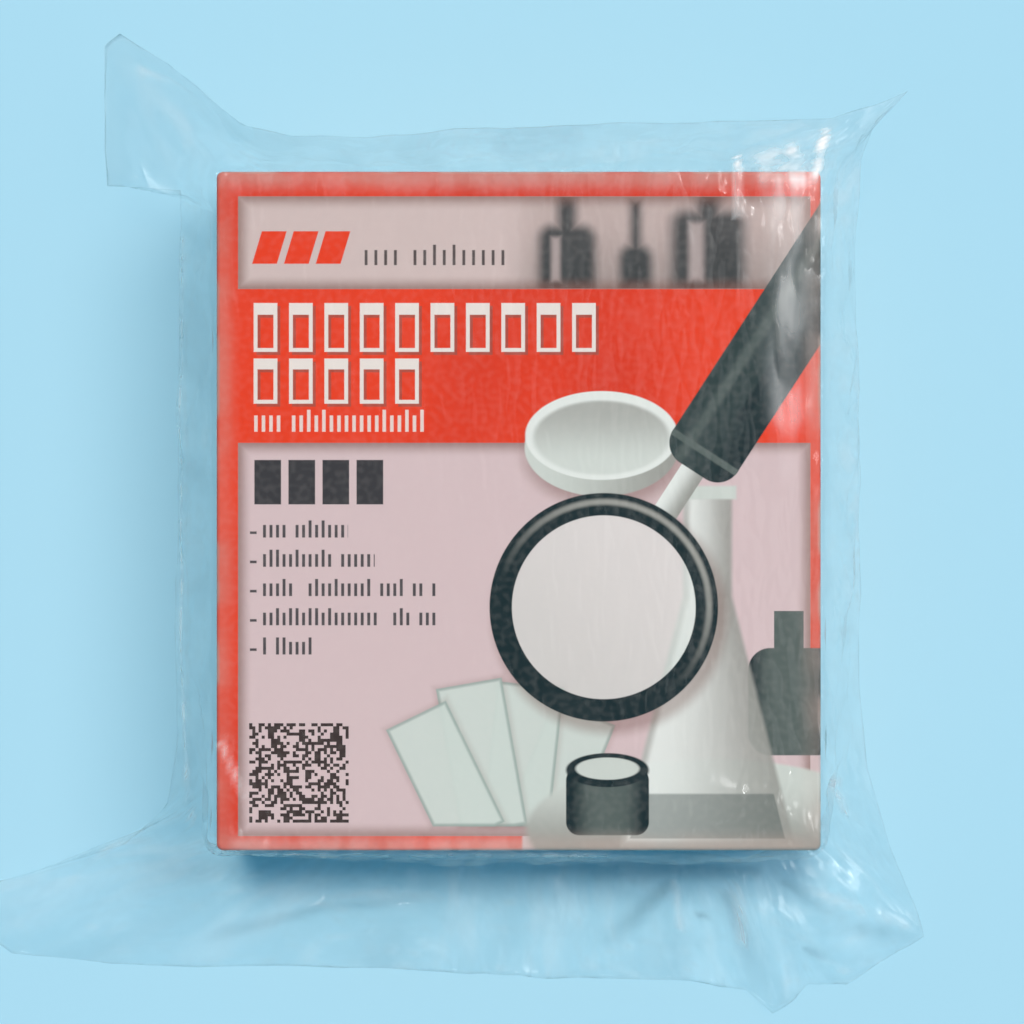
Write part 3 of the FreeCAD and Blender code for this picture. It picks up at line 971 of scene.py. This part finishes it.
def head_strip(board, x, y):
    """Three plain slanted bars, and a line of strokes beside them."""
    slant = x - (y - 35.6) * 0.3
    third = ((slant + 35.6) / 4.3).math("FLOOR")
    bars = within(slant + 35.6 - third * 4.3, y, 0.25, 3.6, 33.4, 37.8).rise(-0.08, 0.08)
    bars = bars * slant.rise(-35.7, -35.6) * slant.rise(-22.6, -22.7)
    board.lay(bars, RED)
    line = strokes(board, x, y, -20.9, 36.0, 3.5, 2.8, (19.6,), 1.32, 0.3)
    board.lay(line, SOFT_INK)


def title(board, x, y):
    """Two rows of little slides, with a soft drop shadow under them, and a line of strokes."""
    for offset, ink, strength in ((0.4, SHADE_BROWN, 0.6), (0, WHITE_INK, 0.97)):
        u, v = (x - offset, y + offset) if offset else (x, y)
        rows = slide_row(u, v, TEXT_LEFT - 0.3, 10, 21.5, 28.1, 4.78, 3.2, 0.52)
        rows = rows.most(slide_row(u, v, TEXT_LEFT - 0.3, 5, 14.5, 20.6, 4.78, 3.2, 0.52))
        board.lay(rows * strength, ink)
    line = strokes(board, x, y, TEXT_LEFT, 13.7, 4.2, 3.0, (23.2,), 1.02)
    board.lay(line * 0.85, WHITE_INK)


def small_print(board, x, y):
    """Four dark blocks, rows of strokes with a dash before each, and a square of random modules."""
    fourth = ((x - TEXT_LEFT) / 4.6).math("FLOOR")
    blocks = within(x - TEXT_LEFT - fourth * 4.6, y, 0.1, 3.7, 0.9, 6.9).rise(-0.07, 0.07)
    blocks = blocks * (x - TEXT_LEFT).least(TEXT_LEFT + 18.3 - x).rise(0, 0.05)
    board.lay(blocks * 0.95, DARK_INK)

    widths = (11.6, 15.2, 24.6, 23.8, 6.7)
    rows = strokes(board, x, y, -34.6, -1.25, LINE_PITCH, 2.35, widths, 0.88)
    from_line_middle = (y + 2.9) - ((y + 2.9) / LINE_PITCH).math("ROUND") * LINE_PITCH
    dashes = bar(x, from_line_middle, -36.3, -35.4, -0.2, 0.15) * bar(x, y, -37, -35, -19.4, 0)
    board.lay(rows.most(dashes) * 0.9, DARK_INK)

    left, foot, size = -36.4, -42.1, MODULES * MODULE
    column = ((x - left) / MODULE).math("FLOOR")
    row = ((y - foot) / MODULE).math("FLOOR")
    modules = by_chance(board, column, row, 3.0).math("GREATER_THAN", 0.48)
    modules = modules * bar(x, y, left, left + size, foot, foot + size, 0.04)
    board.lay(modules, colour(66, 46, 38))


def sides(board, x, y, z, cloud):
    """The pale sides, each with a row of little slides and a line of strokes."""
    end = (LONG - abs(y)).rise(1.0, 0.9)
    along = x * end + y * (1 - end)
    paint = board.mix(cloud.rise(0.4, 0.8) * 0.4, SIDE_GREY, GREY_PINK)
    paint = board.mix(slide_row(along, z, -14.0, 5, 9.0, 19.0, 4.8, 3.2, 0.5), paint, DEEP_RED)
    line = strokes(board, along, z, 12.5, 16.5, 4, 2.6, (15.0,), 1.1)
    return board.mix(line, paint, SOFT_INK)


def rub_edges_and_paint_sheen(board, x, y, z):
    """The print rubbed pale along the face's edges, with a wider painted sheen, most at the head and the
    tail.
    """
    scuff = board.noise(140, 1).rise(0.35, 0.65)
    ends = (LONG - abs(y)).rise(3.6, 0.9) * 0.13 + 0.16
    far = from_rim(x, y)
    # A thin rubbed line at the rim is wear; the wider pale band is a painted sheen of the film turning
    # over it.
    wear_and_sheen = (far.rise(1.0, 0.0) * scuff * 0.75).most(far.rise(3.6, 0.6) * (scuff * 0.16 + ends))
    board.lay(wear_and_sheen * z.rise(HIGH - 1.4, HIGH - 0.3), colour(196, 168, 156))


def out_of_focus(board, x, y):
    """The head strip's picture: a soft row of dark bottles, out of focus."""
    paint = board.mix(y.rise(31, 40), colour(170, 150, 144), colour(196, 172, 166))
    bottles = ((2.6, 10.4, 38.6, 2.2), (13.6, 18.0, 36.0, 2.0), (20.6, 30.6, 40.6, 2.8))
    for left, right, top, soft in bottles:
        neck = bar(x, y, (left * 2 + right) / 3, (left + right * 2) / 3, 30, top + 6, soft)
        bottle = pad(x, y, left, right, 26, top, 2, soft).most(neck)
        paint = board.mix(bottle * 0.88, paint, NEAR_BLACK)
    glint = bar(x, y, 4.4, 5.6, 31, 37, 1.0).most(bar(x, y, 23.0, 25.0, 31, 39, 1.4))
    paint = board.mix(glint * 0.6, paint, GREY_PINK)
    return board.mix(x.rise(4.0, -3.0), paint, GREY_PINK)


def still_life(board, x, y):
    """The picture: a fan of blank slides, a flask, a dish, a jar, a bottle and a hand lens."""
    lay = board.lay

    # A fan of blank slides, each with a frosted end and a glassy edge.
    for degrees in (-22, -6, 10, 26):
        u, v = turned(x, y, -1.5, -53.0, degrees)
        depth = within(u, v, -4.6, 4.6, 10.0, 31.0 - abs(degrees - 4) * 0.12)
        depth = depth.least(y - PANEL_FOOT - 1.2)
        lay(depth.rise(-0.9, 0.4) * 0.25, SHADE_BROWN)
        lay(depth.rise(0.0, 0.2) * 0.92, board.mix(depth.rise(0.7, 0.2), PALE_GREEN, GLASS_EDGE))

    # The shallow tray that the glassware stands on.
    lay(oval(x, y, 26.0, -43.0, 25.0, 9.5, 0.6), board.mix(y.rise(-36, -46), OFF_WHITE, WARM_GREY))

    # A dark bottle, running off the right edge.
    side = (x - 36.5) / 5.6
    shine = board.mix((side * side).rise(0.05, 0.9), DARK_GREY, NEAR_BLACK)
    lay(pad(x, y, 31.0, 43.5, -33.0, -18.5, 3.0).most(bar(x, y, 34.5, 38.5, -20, -13.5)), shine)

    # A conical flask of milky glass, its foot filled.
    half = 11.6 - 8.4 * ((y + 44.5) / 33.0).most(0).least(1)
    deep = (half - abs(x - 25.5)).least((y + 45.3).least(2.6 - y))
    glassy = board.mix(((x - 25.5) / half).rise(-0.9, 1.1), BRIGHT_WHITE, WARM_GREY)
    lay(deep.rise(-0.5, 0.3) * 0.92, board.mix(deep.rise(1.3, 0.2) * 0.7, glassy, WARM_GREY))
    lay((deep - 0.9).rise(0, 0.3) * y.rise(-38.0, -38.4) * 0.6, DARK_GREY)
    lay(bar(x, y, 21.6, 29.4, 1.6, 3.4, 0.5), OFF_WHITE)

    # A shallow dish with a pale rim, across the foot of the red band.
    lay(oval(x, y, 11.6, 7.4, 10.8, 6.8, 2.4) * 0.55, SHADE_BROWN)
    lay(oval(x, y, 11.2, 8.6, 10.4, 6.6), board.mix(x.rise(2, 22), OFF_WHITE, WARM_GREY))
    lay(oval(x, y, 11.2, 10.2, 10.3, 6.0), BRIGHT_WHITE)
    lay(oval(x, y, 11.2, 9.9, 9.2, 5.0, 0.6) * 0.8, board.mix(y.rise(14, 6), WARM_GREY, OFF_WHITE))

    # A squat dark jar with a pale lid.
    side = (x - 12.0) / 5.6
    shine = board.mix((side * side).rise(0.0, 0.8), DARK_GREY, NEAR_BLACK)
    lay(pad(x, y, 6.4, 17.6, -43.8, -34.6, 1.8), shine)
    lay(oval(x, y, 12.0, -35.0, 5.6, 2.3), NEAR_BLACK)
    lay(oval(x, y, 12.0, -34.8, 4.3, 1.5), OFF_WHITE)

    # The hand lens: a dark ring with pale glass, and a dark handle that runs off the right edge.
    far = reach(x, y, 11.5, -13.0, 15.4, 15.4)
    u, v = turned(x, y, 11.5, -13.0, 57)
    lay(reach(x, y, 12.3, -14.2, 15.4, 15.4).rise(1.1, 0.96) * far.rise(0.8, 0.9) * 0.5, SHADE_BROWN)
    lay(far.rise(0.83, 0.81) * 0.55, board.mix((u / 15).rise(-1, 1), PALE_GREEN, BRIGHT_WHITE))
    lay(bar(u, v, 14.6, 24, -1.7, 1.7), board.mix(v.rise(-1.6, 1.4), WARM_GREY, BRIGHT_WHITE))
    ring = far.rise(1.008, 0.996) * far.rise(0.80, 0.812)
    lay(ring, NEAR_BLACK)
    lay(ring * far.rise(0.97, 0.93) * far.rise(0.88, 0.92) * (u / 15).rise(-0.4, 0.9), WARM_GREY)
    grip = pad(u, v, 22.0, 80.0, -5.2, 5.2, 3.2)
    lay(grip, board.mix(v.rise(-5.2, 1.5), NEAR_BLACK, colour(52, 60, 56)))
    lay(grip * v.rise(1.3, 2.2) * v.rise(3.6, 2.6) * 0.65, DARK_GREY)
    lay(grip * within(u, v, 24.4, 25.6, -9, 9).rise(0, 0.3), DARK_GREY)
    lay(grip * within(u, v, 31.0, 46.0, -2.6, -0.8).rise(0, 0.4) * 0.8, NEAR_BLACK)


def plain_board():
    """The tray's finish: unprinted grey board with dark flecks."""
    board = Finish("plain board")
    fibre = board.noise(1400, 5, (1, 1, 0.4))
    fleck = board.from_specks(700).rise(0.12, 0.02) * 0.4
    paint = board.mix(fibre.rise(0.3, 0.7) * 0.35, BOARD_GREY, colour(160, 152, 138))
    paint = board.mix(fleck, paint, colour(120, 110, 96))
    return board.solid(Base_Color=paint, Roughness=0.85, Normal=board.bump(fibre, 0.05 * MM, 0.5))


def slide_glass():
    """The slides' finish: clear glass, very slightly uneven."""
    glass = Finish("slide glass")
    uneven = glass.noise(2500, 3)
    return glass.solid(
        Base_Color=colour(214, 236, 226),
        Roughness=uneven * 0.06 + 0.02,
        Normal=glass.bump(uneven, 0.004 * MM, 0.3),
        Transmission_Weight=1.0,
        IOR=1.52,
    )


def finish_carton():
    """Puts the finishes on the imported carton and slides, whose shapes stay as they are."""
    glass = slide_glass()
    finishes = {"carton_lid": printed_board(), "carton_tray": plain_board()}
    for name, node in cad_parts.items():
        if name != "clear_bag":
            node.data.materials.clear()
            node.data.materials.append(finishes.get(name, glass))


# ---- The floor, the lights and the camera ----


FLOOR = 3.0  # half the width of the square floor


def pale_floor():
    """The surface that the bag lies on, which is for the picture alone."""
    corners = [(x * FLOOR, y * FLOOR, 0.0) for x, y in ((-1, -1), (1, -1), (1, 1), (-1, 1))]
    floor = make_mesh("floor", corners, [(0, 1, 2, 3)])
    paper = Finish("pale blue paper")
    floor.data.materials.append(paper.solid(Base_Color=colour(172, 219, 239), Roughness=0.9))


def aim(lamp, way):
    """Puts a lamp in the scene, turned so that it shines from that direction onto the carton."""
    lamp.rotation_euler = Vector(way).to_track_quat("Z", "Y").to_euler()
    bpy.context.scene.collection.objects.link(lamp)


def distant_light(name, way, strength, tint, spread):
    """A far lamp that doesn't show in gloss."""
    light = bpy.data.lights.new(name, "SUN")
    light.energy = strength
    light.color = tint
    light.angle = math.radians(spread)
    lamp = bpy.data.objects.new(name, light)
    lamp.visible_glossy = False
    aim(lamp, way)


def near_light(name, place, size, power):
    """A round lamp that shows in gloss alone."""
    light = bpy.data.lights.new(name, "AREA")
    light.shape = "DISK"
    light.size = size
    light.energy = power
    lamp = bpy.data.objects.new(name, light)
    lamp.location = place
    lamp.visible_diffuse = False
    aim(lamp, place)


def studio():
    """Two soft lights from above, three more that show in gloss alone, and a blue sky."""
    distant_light("overhead", (-0.05, 0.32, 1), 1.95, (1, 0.88, 0.77), 13)
    distant_light("side", (0.54, 0.3, 1), 1.45, (1, 0.794, 0.712), 32)
    near_light("sparkle", (0.25, 0.24, 0.8), 0.1, 0.27)
    near_light("window", (0.55, 0.37, 0.92), 0.45, 1.35)
    near_light("ceiling", (0.5, 0.15, 0.9), 1, 1.1)
    world = bpy.data.worlds.new("studio")
    world.use_nodes = True
    nodes, links = world.node_tree.nodes, world.node_tree.links
    sky = nodes["Background"]
    sky.inputs["Color"].default_value = (0.04, 0.645, 1, 1)
    sky.inputs["Strength"].default_value = 0.31
    # Only the camera sees the pale backdrop. Everything else is lit by the deeper blue.
    backdrop = nodes.new("ShaderNodeBackground")
    backdrop.inputs["Color"].default_value = colour(196, 226, 240)
    choose = nodes.new("ShaderNodeMixShader")
    links.new(nodes.new("ShaderNodeLightPath").outputs["Is Camera Ray"], choose.inputs[0])
    links.new(sky.outputs[0], choose.inputs[1])
    links.new(backdrop.outputs[0], choose.inputs[2])
    links.new(choose.outputs[0], nodes["World Output"].inputs["Surface"])
    bpy.context.scene.world = world
    bpy.context.scene.view_settings.view_transform = "Standard"


def overhead_camera():
    """A long lens, looking straight down on the carton from 0.45 metres above the floor."""
    camera = bpy.data.cameras.new("camera")
    camera.lens = 109.8
    holder = bpy.data.objects.new("camera", camera)
    holder.location = (-0.9 * MM, -0.13 * MM, 0.45)
    bpy.context.scene.collection.objects.link(holder)
    bpy.context.scene.camera = holder


finish_carton()
film_bag()
pale_floor()
studio()
overhead_camera()
